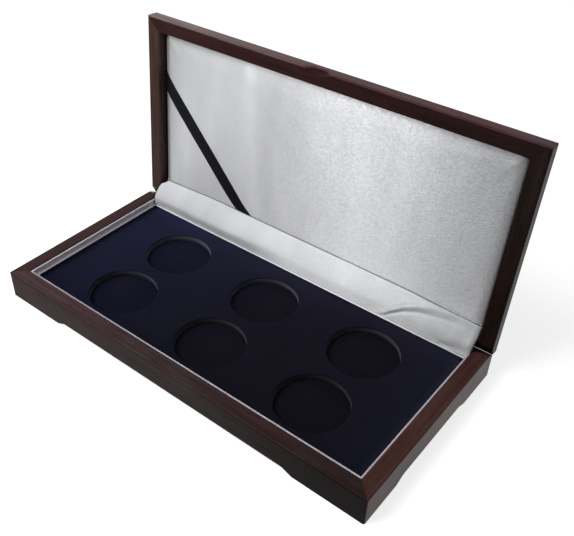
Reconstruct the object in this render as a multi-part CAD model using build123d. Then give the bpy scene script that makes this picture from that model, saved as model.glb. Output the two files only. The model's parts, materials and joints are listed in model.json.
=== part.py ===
from build123d import *
import os
from math import cos, radians, sin, sqrt, tan

# A hinged presentation case for coins. Millimetres; +X runs to the case's right, +Y to its
# back and +Z up. Every piece is drawn with the case shut, about the middle of the base, on the
# surface it stands on. The lid's pieces are then swung open about the hinge, and the whole case
# is moved forwards until the origin is the middle of the open case's footprint.

# Coin recesses: a grid cut through the velvet insert
recess_diameter = 46.0
recess_depth = 5.0
recess_rim_bevel = 0.7
recess_columns = 3
recess_rows = 2
web_across = 32.6
web_along = 8.3
margin_left = 34.8
margin_right = 29.4
margin_front = 6.6
margin_rear = 11.3

# Wooden frame, base and lid
rail_width = 10.0
corner_radius = 1.2
rim_radius = 1.0
rim_gap = 0.2
rim_drop = 6.2
lid_rail_height = 7.0
lid_panel_thickness = 3.0
lid_edge_radius = 2.6

# Floor panel, held in a groove round the base
floor_thickness = 3.0
floor_lift = 0.8
groove_depth = 3.0
pocket_floor_thickness = 2.0

# Corner feet, left by shallow cut-outs under the rails
foot_height = 3.0
foot_front_length = 47.0
foot_side_length = 32.0
foot_slope = 7.0

# Thumb notch scooped out of the lid's front edge
notch_width = 21.0
notch_depth = 3.4
notch_height = 5.0
notch_offset = -1.0

# Satin liners round the velvet
liner_thickness = 1.0
liner_drop = 0.3
liner_edge_radius = 0.4
insert_clearance = 0.3
insert_edge_radius = 0.8

# Rear edges, chamfered so that the lid swings past upright and stops
open_angle = 94.0
chamfer_depth = 7.0
chamfer_height = 3.8
stop_clearance = 0.1

# Two butt hinges with cranked leaves
hinge_inset = 60.0
hinge_width = 30.0
knuckle_count = 3
knuckle_gap = 0.2
pin_radius = 0.7
barrel_wall = 0.7
barrel_clearance = 0.25
fixed_bore_clearance = 0.02
running_bore_clearance = 0.06
leaf_thickness = 0.8
leaf_drop = 0.1
leaf_side_clearance = 0.1
base_flange_length = 9.0
lid_flange_length = 6.4
screw_spread = 18.0
screw_edge = 3.0
screw_radius = 0.9
screw_head_radius = 1.7
screw_tip_wall = 3.0
screw_clearance = 0.03

# Padded satin panel in the lid, with its corner ribbon
pad_side_gap = 2.0
pad_front_gap = 1.2
pad_rear_gap = 5.5
pad_corner_radius = 3.0
pad_edge_radius = 2.2
pad_thickness = 2.8
pad_board_thickness = 1.2
pad_board_inset = 0.6
ribbon_width = 10.0
ribbon_thickness = 0.4
ribbon_side_reach = 82.0
ribbon_rear_reach = 79.5

# Satin strip over the hinges
strip_thickness = 0.8
strip_wall_gap = 0.3
strip_insert_gap = 0.4
strip_end_gap = 0.4
strip_side_gap = 0.3
strip_tuck = 5.0
strip_rise = 0.5
strip_bulge = 2.5

# Cutting tools reach this far past the piece that they cut
overcut = 1.0

# Sizes that follow from the ones above
recess_radius = recess_diameter / 2
insert_width = (
    margin_left + margin_right + recess_columns * recess_diameter + (recess_columns - 1) * web_across
)
insert_depth = (
    margin_front + margin_rear + recess_rows * recess_diameter + (recess_rows - 1) * web_along
)
side_build_up = rail_width + liner_thickness + insert_clearance
rear_build_up = rail_width + strip_wall_gap + strip_thickness + strip_insert_gap
case_width = insert_width + 2 * side_build_up
case_depth = insert_depth + side_build_up + rear_build_up
right = case_width / 2
back = case_depth / 2
inner_right = right - rail_width
inner_back = back - rail_width

floor_bottom = foot_height + floor_lift
floor_top = floor_bottom + floor_thickness
insert_bottom = floor_top + pocket_floor_thickness
insert_top = insert_bottom + recess_depth
base_top = insert_top + rim_drop
mouth_level = base_top + rim_gap / 2
lid_bottom = base_top + rim_gap
panel_bottom = lid_bottom + lid_rail_height
lid_top = panel_bottom + lid_panel_thickness
insert_left = -right + side_build_up
insert_front = -back + side_build_up

# The hinge axis stands where the two chamfers' outer edges meet once the lid is open
half_open = radians(open_angle / 2)
pivot_inset = (chamfer_height + rim_gap / 2) / tan(half_open) - stop_clearance / (2 * sin(half_open))
pivot_y = back - pivot_inset
pivot_axis = Axis((0, pivot_y, mouth_level), (1, 0, 0))
barrel_radius = pin_radius + barrel_wall
hinge_places = (-right + hinge_inset, right - hinge_inset)
knuckle_pitch = hinge_width / knuckle_count
screw_length = rail_width - screw_tip_wall

mouth_plane = Plane.XY.offset(mouth_level)


# A point of the shut lid, given by y and z, carried round to its open place
def opened_point(y, z):
    angle = radians(open_angle)
    ahead = y - pivot_y
    above = z - mouth_level
    return Vector(
        pivot_y + ahead * cos(angle) + above * sin(angle),
        mouth_level - ahead * sin(angle) + above * cos(angle),
    )


# The open lid reaches furthest back on the rounding of its front edge
front_edge_centre = opened_point(-back + lid_edge_radius, lid_top - lid_edge_radius)
open_reach = front_edge_centre.X + lid_edge_radius
origin_shift = (back - open_reach) / 2


# A box between two corners
def block(x0, x1, y0, y1, z0, z1):
    return Pos((x0 + x1) / 2, (y0 + y1) / 2, (z0 + z1) / 2) * Box(x1 - x0, y1 - y0, z1 - z0)


# A cylinder along X round the hinge axis, centred at x
def hinge_cylinder(x, length, radius):
    return Pos(x, pivot_y, mouth_level) * Rot(0, 90, 0) * Cylinder(radius, length)


# A closed outline in (y, z), drawn out along X about the middle
def extruded_across(outline, length):
    return extrude(Plane.YZ * make_face(Polyline(*outline, close=True)), length / 2, both=True)


def swung_open(piece):
    return piece.rotate(pivot_axis, -open_angle)


# ---- Frame rails ----

# Each side's turn about Z, its distance from the middle, its length and its foot length
sides = {
    "front": (0, back, case_width, foot_front_length),
    "right": (90, right, case_depth, foot_side_length),
    "rear": (180, back, case_width, foot_front_length),
    "left": (270, right, case_depth, foot_side_length),
}


# A straight rail along the front, its outer face at -distance, rounded along its mouth edges
def straight_rail(distance, length, height, mouth):
    section = Pos(rail_width / 2, height / 2) * Rectangle(rail_width, height)
    section = fillet(section.vertices().group_by(Axis.Y)[mouth], rim_radius)
    return Pos(0, -distance, 0) * extrude(Plane.YZ * section, length / 2, both=True)


# The prism between the two 45 degree mitres of a rail
def mitre_prism(distance, length, height):
    reach = rail_width + overcut
    corners = [
        (-length / 2 - reach, -distance - reach),
        (length / 2 + reach, -distance - reach),
        (length / 2 - reach, -distance + reach),
        (-length / 2 + reach, -distance + reach),
    ]
    return extrude(make_face(Polyline(*corners, close=True)), height)


# The gap under a rail between its two feet, with sloped ends
def foot_gap(distance, length, foot_length):
    low = length / 2 - foot_length
    high = low - foot_slope
    outline = make_face(
        Polyline((-low, 0), (low, 0), (high, foot_height), (-high, foot_height), close=True)
    )
    return Pos(0, -distance, 0) * extrude(Plane.XZ * outline, rail_width + overcut, both=True)


# Four mitred rails of one height, standing on z = 0, with the case's rounded corners
def mitred_rails(height, mouth, with_feet):
    plan = extrude(RectangleRounded(case_width, case_depth, corner_radius), height)
    rails = {}
    for side, (turn, distance, length, foot_length) in sides.items():
        rail = straight_rail(distance, length, height, mouth) & mitre_prism(distance, length, height)
        if with_feet:
            rail -= foot_gap(distance, length, foot_length)
        rails[side] = (Rot(0, 0, turn) * rail) & plan
    return rails


# The wedge cut off the base's rear rim, over the whole width
def rear_chamfer():
    outline = [
        (back - chamfer_depth, base_top),
        (back, base_top - chamfer_height),
        (back + overcut, base_top - chamfer_height),
        (back + overcut, base_top + overcut),
        (back - chamfer_depth, base_top + overcut),
    ]
    return extruded_across(outline, case_width + 2 * overcut)


# The room that one hinge leaf and its barrel take out of the base's rear rail
def leaf_seat(x, flange_length):
    half = hinge_width / 2 + leaf_side_clearance
    leaf_top = base_top - leaf_drop
    plate = block(
        x - half, x + half, inner_back - overcut, back, leaf_top - leaf_thickness, mouth_level
    )
    flange = block(
        x - half, x + half,
        inner_back - overcut, inner_back + leaf_thickness,
        leaf_top - flange_length, mouth_level,
    )
    return plate + flange + hinge_cylinder(x, 2 * half, barrel_radius + barrel_clearance)


def base_rails():
    rails = mitred_rails(base_top, -1, True)
    groove = block(
        -inner_right - groove_depth, inner_right + groove_depth,
        -inner_back - groove_depth, inner_back + groove_depth,
        floor_bottom, floor_top,
    )
    for side in rails:
        rails[side] = rails[side] - groove - rear_chamfer()
    for x in hinge_places:
        rails["rear"] -= leaf_seat(x, base_flange_length)
    rails["rear"] -= screw_group(base_flange_length, screw_clearance)
    return rails


def lid_rails():
    rails = mitred_rails(lid_rail_height, 0, False)
    chamfer = mirror(rear_chamfer(), about=mouth_plane)
    for side in rails:
        rails[side] = Pos(0, 0, lid_bottom) * rails[side] - chamfer
    for x in hinge_places:
        rails["rear"] -= mirror(leaf_seat(x, lid_flange_length), about=mouth_plane)
    rails["rear"] -= mirror(screw_group(lid_flange_length, screw_clearance), about=mouth_plane)
    rails["front"] -= thumb_scoop()
    return rails


# The ball that leaves a notch of the stated width, depth and height on the lid's front edge
def thumb_scoop():
    half_chord = notch_width / 2
    ahead = (half_chord**2 - notch_depth**2) / (2 * notch_depth)
    below = (half_chord**2 - notch_height**2) / (2 * notch_height)
    ball = Sphere(sqrt(half_chord**2 + ahead**2 + below**2))
    return Pos(notch_offset, -back - ahead, lid_bottom - below) * ball


# ---- Panels, liners and insert ----

def floor_panel():
    return block(
        -inner_right - groove_depth, inner_right + groove_depth,
        -inner_back - groove_depth, inner_back + groove_depth,
        floor_bottom, floor_top,
    )


# The lid's outer board: rounded along its four top edges and at its corners
def lid_panel():
    def crowned(span, plane):
        section = Pos(0, lid_panel_thickness / 2) * Rectangle(span, lid_panel_thickness)
        section = fillet(section.vertices().group_by(Axis.Y)[-1], lid_edge_radius)
        return extrude(plane * section, case_width, both=True)

    plan = extrude(RectangleRounded(case_width, case_depth, corner_radius), lid_panel_thickness)
    panel = plan & crowned(case_width, Plane.XZ) & crowned(case_depth, Plane.YZ)
    return Pos(0, 0, panel_bottom) * panel


def liners():
    top = base_top - liner_drop
    rear_end = insert_front + insert_depth
    front = block(
        -inner_right, inner_right, -inner_back, -inner_back + liner_thickness, floor_top, top
    )
    left = block(
        -inner_right, -inner_right + liner_thickness,
        -inner_back + liner_thickness, rear_end, floor_top, top,
    )
    pieces = {"front_satin_liner": front, "left_satin_liner": left}
    pieces["right_satin_liner"] = mirror(left, about=Plane.YZ)
    for name, piece in pieces.items():
        long_axis = Axis.X if name.startswith("front") else Axis.Y
        top_edges = piece.edges().group_by(Axis.Z)[-1].filter_by(long_axis)
        pieces[name] = fillet(top_edges, liner_edge_radius)
    return pieces


def insert_slab(z0, z1):
    return block(
        insert_left, insert_left + insert_width, insert_front, insert_front + insert_depth, z0, z1
    )


# The centres of the recesses, row by row from the front left
def recess_centres():
    first_x = insert_left + margin_left + recess_radius
    first_y = insert_front + margin_front + recess_radius
    return [
        (first_x + column * (recess_diameter + web_across), first_y + row * (recess_diameter + web_along))
        for row in range(recess_rows)
        for column in range(recess_columns)
    ]


# The velvet board: through holes for the coins, every top edge eased
def velvet_insert():
    slab = insert_slab(insert_bottom, insert_top)
    slab = fillet(slab.edges().group_by(Axis.Z)[-1], insert_edge_radius)
    for x, y in recess_centres():
        slab -= Pos(x, y, (insert_bottom + insert_top) / 2) * Cylinder(recess_radius, 2 * recess_depth)
    rims = slab.edges().filter_by(GeomType.CIRCLE).group_by(Axis.Z)[-1]
    return chamfer(rims, recess_rim_bevel)


# ---- Hinges, drawn on the base's side of the mouth ----

# One leaf: a flange down the rail's inner face, a plate over the rim and its rolled knuckles
def hinge_leaf(x, flange_length, own_knuckles, bore_clearance):
    top = base_top - leaf_drop
    corner = inner_back + leaf_thickness
    outline = Polyline(
        (inner_back, top - flange_length),
        (inner_back, top),
        (pivot_y, top),
        (pivot_y, top - leaf_thickness),
        (corner, top - leaf_thickness),
        (corner, top - flange_length),
        close=True,
    )
    section = make_face(outline)
    bend = section.vertices().sort_by_distance((inner_back, top))[0]
    leaf = extrude(Plane.YZ * fillet(bend, leaf_thickness / 2), hinge_width / 2, both=True)
    slot_front = pivot_y - barrel_radius - barrel_clearance
    knuckles = []
    for index in range(knuckle_count):
        middle = (index - (knuckle_count - 1) / 2) * knuckle_pitch
        if index in own_knuckles:
            knuckles.append(hinge_cylinder(middle, knuckle_pitch - knuckle_gap, barrel_radius))
        else:
            half_slot = (knuckle_pitch + knuckle_gap) / 2
            leaf -= block(
                middle - half_slot, middle + half_slot,
                slot_front, back, top - flange_length, base_top,
            )
    leaf += knuckles
    leaf -= hinge_cylinder(0, hinge_width + overcut, pin_radius + bore_clearance)
    return Pos(x, 0, 0) * leaf - screw_group(flange_length, screw_clearance)


# One countersunk screw, blunt-ended, its head at the origin and its shank towards +Y
def screw(clearance):
    outline = Polyline(
        (0, 0),
        (screw_head_radius + clearance, 0),
        (screw_radius + clearance, leaf_thickness),
        (screw_radius + clearance, screw_length + clearance),
        (0, screw_length + clearance),
        close=True,
    )
    turned = revolve(Plane.XZ * make_face(outline), Axis.Z)
    return Rot(-90, 0, 0) * turned


# The four screws of both leaves that have this flange length
def screw_group(flange_length, clearance=0.0):
    level = base_top - leaf_drop - flange_length + screw_edge
    places = [x + side * screw_spread / 2 for x in hinge_places for side in (-1, 1)]
    return Compound([Pos(x, inner_back, level) * screw(clearance) for x in places])


def hinge_pin(x):
    return hinge_cylinder(x, hinge_width, pin_radius)


# ---- Lid lining ----

pad_left = -inner_right + pad_side_gap
pad_front = -inner_back + pad_front_gap
pad_rear = inner_back - pad_rear_gap
pad_base = panel_bottom - pad_board_thickness
pad_face = pad_base - pad_thickness


def pad_outline(inset, radius):
    centre = Pos(0, (pad_front + pad_rear) / 2)
    width = -2 * pad_left - 2 * inset
    return centre * RectangleRounded(width, pad_rear - pad_front - 2 * inset, radius)


def pad_board():
    board = extrude(pad_outline(pad_board_inset, pad_corner_radius), pad_board_thickness)
    return Pos(0, 0, pad_base) * board


def satin_pad():
    pad = Pos(0, 0, pad_face) * extrude(pad_outline(0, pad_corner_radius), pad_thickness)
    return fillet(pad.edges().group_by(Axis.Z)[0], pad_edge_radius)


# The ribbon across the pad's rear left corner, cut off at the pad's edges
def corner_ribbon():
    start = Vector(pad_left, pad_rear - ribbon_side_reach)
    end = Vector(pad_left + ribbon_rear_reach, pad_rear)
    along = (end - start).normalized()
    across = Vector(-along.Y, along.X) * (ribbon_width / 2)
    run = along * ribbon_width
    corners = [start - run - across, end + run - across, end + run + across, start - run + across]
    strip = make_face(Polyline(*corners, close=True)) & pad_outline(0, pad_corner_radius)
    return Pos(0, 0, pad_face - ribbon_thickness) * extrude(strip, ribbon_thickness)


# ---- Satin strip over the hinges, drawn as it lies with the lid open ----

# Up the base's inner wall from behind the insert, then in one bow to the lid's panel
def hinge_strip():
    face = inner_back - strip_wall_gap - strip_thickness
    foot = Vector(face, insert_top - strip_tuck)
    turn = Vector(face, base_top + strip_rise)
    end = opened_point(pad_rear + strip_end_gap, panel_bottom - strip_wall_gap)
    chord = end - turn
    outward = Vector(-chord.Y, chord.X).normalized()
    crown = (turn + end) / 2 + outward * strip_bulge
    path = Polyline(foot, turn) + ThreePointArc(turn, crown, end)
    band = offset(path, amount=strip_thickness, side=Side.RIGHT, closed=True)
    width = 2 * (inner_right - strip_side_gap)
    return extrude(Plane.YZ * make_face(band), width / 2, both=True)


# ---- All pieces ----

def base_parts():
    parts = {f"base_{side}_rail": rail for side, rail in base_rails().items()}
    parts["base_floor_panel"] = floor_panel()
    parts.update(liners())
    parts["pocket_floor_board"] = insert_slab(floor_top, insert_bottom)
    parts["velvet_insert"] = velvet_insert()
    for name, x in zip(("left", "right"), hinge_places):
        fixed_knuckles = range(0, knuckle_count, 2)
        parts[f"{name}_hinge_base_leaf"] = hinge_leaf(
            x, base_flange_length, fixed_knuckles, fixed_bore_clearance
        )
        parts[f"{name}_hinge_pin"] = hinge_pin(x)
    parts["base_hinge_screws"] = screw_group(base_flange_length)
    parts["satin_hinge_strip"] = hinge_strip()
    return parts


def lid_parts():
    parts = {f"lid_{side}_rail": rail for side, rail in lid_rails().items()}
    parts["lid_top_panel"] = lid_panel()
    parts["lid_pad_board"] = pad_board()
    parts["lid_satin_pad"] = satin_pad()
    parts["corner_ribbon"] = corner_ribbon()
    for name, x in zip(("left", "right"), hinge_places):
        moving_knuckles = range(1, knuckle_count, 2)
        leaf = hinge_leaf(x, lid_flange_length, moving_knuckles, running_bore_clearance)
        parts[f"{name}_hinge_lid_leaf"] = mirror(leaf, about=mouth_plane)
    parts["lid_hinge_screws"] = mirror(screw_group(lid_flange_length), about=mouth_plane)
    return {name: swung_open(piece) for name, piece in parts.items()}


os.makedirs("parts", exist_ok=True)
for name, piece in {**base_parts(), **lid_parts()}.items():
    export_step(Pos(0, origin_shift, 0) * piece, f"parts/{name}.step")
print(f"case {case_width:.1f} x {case_depth:.1f} x {lid_top:.1f} mm shut")
print(f"hinge axis at y {pivot_y + origin_shift:.3f}, z {mouth_level:.3f}")
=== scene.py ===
import json
import math

import bpy
import numpy as np
from mathutils import Matrix, Vector


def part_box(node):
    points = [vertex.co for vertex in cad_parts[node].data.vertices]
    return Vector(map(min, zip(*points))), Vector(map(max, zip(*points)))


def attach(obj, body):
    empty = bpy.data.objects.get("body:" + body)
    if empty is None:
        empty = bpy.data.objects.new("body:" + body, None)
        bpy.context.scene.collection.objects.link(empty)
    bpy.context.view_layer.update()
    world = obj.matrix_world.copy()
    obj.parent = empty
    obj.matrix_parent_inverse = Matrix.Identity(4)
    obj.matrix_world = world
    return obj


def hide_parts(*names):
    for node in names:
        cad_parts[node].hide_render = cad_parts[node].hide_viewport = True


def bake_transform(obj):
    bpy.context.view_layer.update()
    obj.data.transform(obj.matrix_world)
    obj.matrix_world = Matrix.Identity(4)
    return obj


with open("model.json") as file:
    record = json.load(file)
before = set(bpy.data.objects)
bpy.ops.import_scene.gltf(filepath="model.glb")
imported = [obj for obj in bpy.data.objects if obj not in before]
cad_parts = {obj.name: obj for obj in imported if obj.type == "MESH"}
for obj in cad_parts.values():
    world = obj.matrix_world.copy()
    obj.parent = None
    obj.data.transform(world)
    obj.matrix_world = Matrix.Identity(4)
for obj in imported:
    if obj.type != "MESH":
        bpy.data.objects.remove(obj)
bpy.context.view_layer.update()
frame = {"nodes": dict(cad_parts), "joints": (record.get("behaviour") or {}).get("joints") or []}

print("frame loaded:", len(frame["nodes"]), "nodes")

# measures shared by the pieces, in millimetres about the middle of the base

millimetre = 0.001
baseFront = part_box("base_front_rail")[0].y
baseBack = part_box("base_rear_rail")[1].y
caseShift = (baseFront + baseBack) / 2  # the middle of the base in the frame, in metres
hinge = frame["joints"][0]
hingeY = (hinge["pos_m"][1] - caseShift) / millimetre
hingeZ = hinge["pos_m"][2] / millimetre
openAngle = math.radians(hinge["range_deg"][1])
quarterTurn = math.pi / 2


def nodeBox(node):
    # a node's lowest and highest corners
    low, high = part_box(node)
    shift = np.array([0.0, caseShift, 0.0])
    return (np.array(low) - shift) / millimetre, (np.array(high) - shift) / millimetre


def swingOpen(points):
    # the shut lid's points turned back about the hinge: the open angle's cosine and sine mix y and z
    ahead = points[..., 1] - hingeY
    above = points[..., 2] - hingeZ
    turned = points.copy()
    turned[..., 1] = hingeY + ahead * math.cos(openAngle) + above * math.sin(openAngle)
    turned[..., 2] = hingeZ - ahead * math.sin(openAngle) + above * math.cos(openAngle)
    return turned


def smoothStep(x, low, high):
    # 0 below low, 1 above high, and 3t squared less 2t cubed between
    t = np.clip((x - low) / (high - low), 0, 1)
    return t * t * (3 - 2 * t)


def window(x, rise, fall):
    # one smooth step up times one down
    return smoothStep(x, *rise) * (1 - smoothStep(x, *fall))


def bump(x, centre, width):
    # a bell curve: e to the minus half the squared distance over the width
    return np.exp(-0.5 * ((x - centre) / width) ** 2)


def ripple(x, y, seed, scale, waves=7, finest=0.6, coarsest=1.6, spread=1.6):
    # about -1 to 1: the mean of plane waves of seeded directions, phases and pitches, brought to size
    random = np.random.default_rng(seed)
    turn = random.uniform(0, 2 * np.pi, waves)
    phase = random.uniform(0, 2 * np.pi, waves)
    pitch = scale * random.uniform(finest, coarsest, waves)
    place = x[..., None] * np.cos(turn) + y[..., None] * np.sin(turn)
    return np.sin(2 * np.pi * place / pitch + phase).mean(axis=-1) * math.sqrt(waves) / spread


def smoothCurve(controls, count):
    # Catmull-Rom curve through the controls: each span is a cubic of its four nearest points
    padded = np.concatenate([2 * controls[:1] - controls[1:2], controls, 2 * controls[-1:] - controls[-2:-1]])
    place = np.linspace(0, len(controls) - 1, count)
    span = np.minimum(place.astype(int), len(controls) - 2)
    t = (place - span).reshape((-1,) + (1,) * (controls.ndim - 1))
    before, start, end, after = (padded[span + step] for step in range(4))
    return 0.5 * (
        2 * start
        + (end - before) * t
        + (2 * before - 5 * start + 4 * end - after) * t**2
        + (3 * start - before - 3 * end + after) * t**3
    )


def runAlong(curve):
    # the way run along a curve up to each of its points: the steps between them, added up
    steps = np.linalg.norm(np.diff(curve, axis=0), axis=-1)
    return np.concatenate([0 * steps[:1], np.cumsum(steps, axis=0)])


# mesh making

def gridFaces(rows, columns):
    # each face joins a grid cell's four corners, numbered row by row
    index = np.arange(rows * columns).reshape(rows, columns)
    return np.stack([index[:-1, :-1], index[:-1, 1:], index[1:, 1:], index[1:, :-1]], axis=-1).reshape(-1, 4)


def facingOut(points, faces):
    # a closed skin's volume is a sum of corner tetrahedra; where it comes out negative the faces are turned
    a, b, c, d = (points[faces[:, k]] for k in range(4))
    volume = (a * np.cross(b, c)).sum() + (a * np.cross(c, d)).sum()
    return faces if volume > 0 else faces[:, ::-1]


def linkObject(name, data):
    # an object in the scene for a mesh, lamp or camera
    made = bpy.data.objects.new(name, data)
    bpy.context.scene.collection.objects.link(made)
    return made


def makePiece(name, points, faces, materials, body, node, uv=None, faceMaterial=None):
    # a smooth mesh from points in millimetres, carried by a body and standing for a CAD node
    points = points * millimetre + np.array([0.0, caseShift, 0.0])
    mesh = bpy.data.meshes.new(name)
    mesh.from_pydata(points.tolist(), [], faces.tolist())
    for material in materials:
        mesh.materials.append(material)
    mesh.shade_smooth()
    if faceMaterial is not None:
        mesh.polygons.foreach_set("material_index", faceMaterial.astype(np.int32))
    if uv is not None:
        layer = mesh.uv_layers.new(name="cloth")
        corners = np.zeros(len(mesh.loops), np.int32)
        mesh.loops.foreach_get("vertex_index", corners)
        layer.data.foreach_set("uv", (uv * millimetre)[corners].astype(np.float32).ravel())
    mesh.update()
    piece = linkObject(name, mesh)
    if body is not None:
        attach(piece, body)
    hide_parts(node)
    return piece


def makeSheet(name, grid, uv, direction, thickness, material, body, node):
    # a grid of points as an open sheet with a wall behind it; uv is where each point lies when flat
    # the cross product of two sides of its middle face tells whether the faces are turned
    points = grid.reshape(-1, 3)
    faces = gridFaces(*grid.shape[:2])
    a, b, c = points[faces[len(faces) // 2, :3]]
    if np.cross(b - a, c - a) @ np.array(direction) < 0:
        faces = faces[:, ::-1]
    piece = makePiece(name, points, faces, [material], body, node, uv=uv.reshape(-1, 2))
    wall = piece.modifiers.new("wall", "SOLIDIFY")
    wall.thickness = thickness * millimetre
    wall.offset = -1.0
    return piece


# material nodes

def asColour(tone):
    # a colour as it is, or a number as a grey
    return tone if isinstance(tone, tuple) else (tone, tone, tone)


def fill(tree, node, inputs):
    # each input gets a link from a socket, a colour, or a plain value
    for key, value in inputs.items():
        socket = node.inputs[key]
        if isinstance(value, bpy.types.NodeSocket):
            tree.links.new(value, socket)
        elif socket.type == "RGBA":
            socket.default_value = (*asColour(value), 1.0)
        else:
            socket.default_value = value
    return node


def addNode(tree, kind, inputs=None, **settings):
    # a node with its settings made first and its inputs filled after
    node = tree.nodes.new(kind)
    for key, value in settings.items():
        setattr(node, key, value)
    return fill(tree, node, inputs or {})


def newMaterial(name):
    # a material and its tree
    material = bpy.data.materials.new(name)
    material.use_nodes = True
    return material, material.node_tree


def dress(material, look, colour, height=None, normal=None, more=None):
    # the principled shader's colour, the roughness and gloss of its look, and its relief, times a height
    tree = material.node_tree
    inputs = {"Base Color": colour, "Roughness": look["roughness"], "Specular IOR Level": look["gloss"]}
    if height is not None:
        inputs["Normal"] = bumpFrom(tree, height, *look["relief"], normal)
    fill(tree, tree.nodes["Principled BSDF"], inputs | (more or {}))
    return material


def placeOn(tree, scale=(1, 1, 1), turn=(0, 0, 0), source="Object"):
    # the piece's own coordinates, turned so that the pattern lies along it, then stretched
    coordinates = addNode(tree, "ShaderNodeTexCoord")
    turned = addNode(tree, "ShaderNodeMapping", {"Vector": coordinates.outputs[source], "Rotation": turn})
    return addNode(tree, "ShaderNodeMapping", {"Vector": turned.outputs[0], "Scale": scale}).outputs[0]


def noise(tree, stretch, scale, detail=2, roughness=0.5, distortion=0, turn=(0, 0, 0), source="Object"):
    # lumps of about one over the scale, in metres, with finer ones added: 0 to 1
    return addNode(tree, "ShaderNodeTexNoise", {
        "Vector": placeOn(tree, stretch, turn, source), "Scale": scale, "Detail": detail,
        "Roughness": roughness, "Distortion": distortion,
    }).outputs["Fac"]


def ramp(tree, factor, stops):
    # tones blended between the stops, each a place from 0 to 1 and a grey or a colour
    node = addNode(tree, "ShaderNodeValToRGB", {"Fac": factor})
    elements = node.color_ramp.elements
    while len(elements) < len(stops):
        elements.new(0.5)
    for element, (place, tone) in zip(elements, stops):
        element.position = place
        element.color = (*asColour(tone), 1.0)
    return node.outputs["Color"]


def maths(tree, operation, first, second=0.0):
    # one sum, product or other operation on numbers
    return addNode(tree, "ShaderNodeMath", {0: first, 1: second}, operation=operation).outputs[0]


def weighted(tree, *parts):
    # each part times its share, added up
    total = None
    for part, share in parts:
        product = maths(tree, "MULTIPLY", part, share)
        total = product if total is None else maths(tree, "ADD", total, product)
    return total


def blend(tree, first, second, kind="MULTIPLY", amount=1.0):
    # two colours multiplied or mixed, by an amount from 0 to 1
    inputs = {0: amount, 6: first, 7: second}  # the colour sockets are the seventh and eighth
    return addNode(tree, "ShaderNodeMix", inputs, data_type="RGBA", blend_type=kind).outputs[2]


def bumpFrom(tree, height, strength, depth, normal=None):
    # the slope of a height, times a depth in millimetres and a strength, tilts the normal
    inputs = {"Height": height, "Strength": strength, "Distance": depth * millimetre}
    if normal is not None:
        inputs["Normal"] = normal
    return addNode(tree, "ShaderNodeBump", inputs).outputs[0]


def alongAxis(tree, axis, first, last, source="Object", held=True):
    # how far a place is from first to last, in millimetres along an axis: 0 to 1, and beyond unless held
    shift = caseShift / millimetre if (source, axis) == ("Object", 1) else 0
    parts = addNode(tree, "ShaderNodeSeparateXYZ", {"Vector": placeOn(tree, source=source)})
    inputs = {
        "Value": parts.outputs[axis],
        "From Min": (first + shift) * millimetre, "From Max": (last + shift) * millimetre,
    }
    return addNode(tree, "ShaderNodeMapRange", inputs, clamp=held).outputs[0]


def toneAndShadeAlong(tree, colour, axis, stops, source="Object"):
    # the colour times a tone that changes along an axis, which carries painted light and shade in most of its
    # uses; each stop a place in millimetres and a tone
    first, last = stops[0][0], stops[-1][0]
    tones = [((at - first) / (last - first), tone) for at, tone in stops]
    return blend(tree, colour, ramp(tree, alongAxis(tree, axis, first, last, source), tones))


# materials: each noise is a stretch, a scale per metre, a detail, a roughness and a distortion
# each relief is a strength and a depth in millimetres, and each tone a place and a grey or a colour

wood = dict(
    colours=(
        (0.36, (0.021, 0.0056, 0.0056)), (0.52, (0.034, 0.0098, 0.0095)), (0.68, (0.049, 0.0158, 0.0148)),
    ),
    noises=(((0.045, 1, 1), 385, 4, 0.62, 0.25), ((0.045, 1, 1), 1100, 3, 0.6), ((1, 1, 1), 34)),
    shares=(0.65, 0.15, 0.25),
    pore=((0.09, 1, 1), 1900, 1), poreTones=((0.28, 0), (0.4, 1)), poreDepth=0.45,
    roughnessTones=((0.3, 0.33), (0.7, 0.25)),
    grainRelief=(0.16, 0.2),
    relief=(0.2, 0.08),
    gloss=0.07,
    midGloss=0.045,
    lowGloss=0.03,
    # painted shade: darker towards the right, where less light falls
    across=((-145, 1), (-20, 0.95), (60, 0.75), (145, (0.5, 0.58, 0.58))),
    # painted light and sheen on the front rail: lighter and greyer towards the left, where more light falls
    frontTop=(
        (-145, (2.5, 4.8, 5)), (-80, (2.2, 4.2, 4.4)), (-20, (1.45, 3, 3.1)), (40, (1.3, 2.5, 2.6)),
        (80, (1.1, 1.85, 1.95)), (145, (0.82, 1.65, 1.65)),
    ),
    # painted shade on the front rail's front face: dark all along and darkest towards the right
    front=(
        (-145, (0.33, 0.24, 0.24)), (-60, (0.42, 0.36, 0.36)), (0, (0.55, 0.56, 0.56)),
        (60, (0.4, 0.45, 0.45)), (110, (0.15, 0.12, 0.12)), (145, (0.12, 0.1, 0.1)),
    ),
    # painted shade on the lid: darker towards the right, where less light falls
    lid=(
        (-145, (1, 1.1, 1.1)), (-20, (0.9, 0.95, 0.95)), (60, (0.65, 0.7, 0.7)), (145, (0.32, 0.45, 0.45)),
    ),
    # painted light and reflection on the lid's face that is uppermost when open: much lighter and greyer
    lidFront=(
        (-145, (5.6, 11, 11)), (-54, (4.6, 9, 9.2)), (-1, (3.4, 4.3, 4.8)), (60, (3.4, 3.8, 4.6)),
        (107, (4.3, 3.1, 3.9)), (145, (5.2, 5.6, 7.2)),
    ),
    # painted light on the inside face of the lid's left rail, which lies in shade
    lidInside=((-145, (2, 2.7, 3.2)), (145, (2, 2.7, 3.2))),
)


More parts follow.
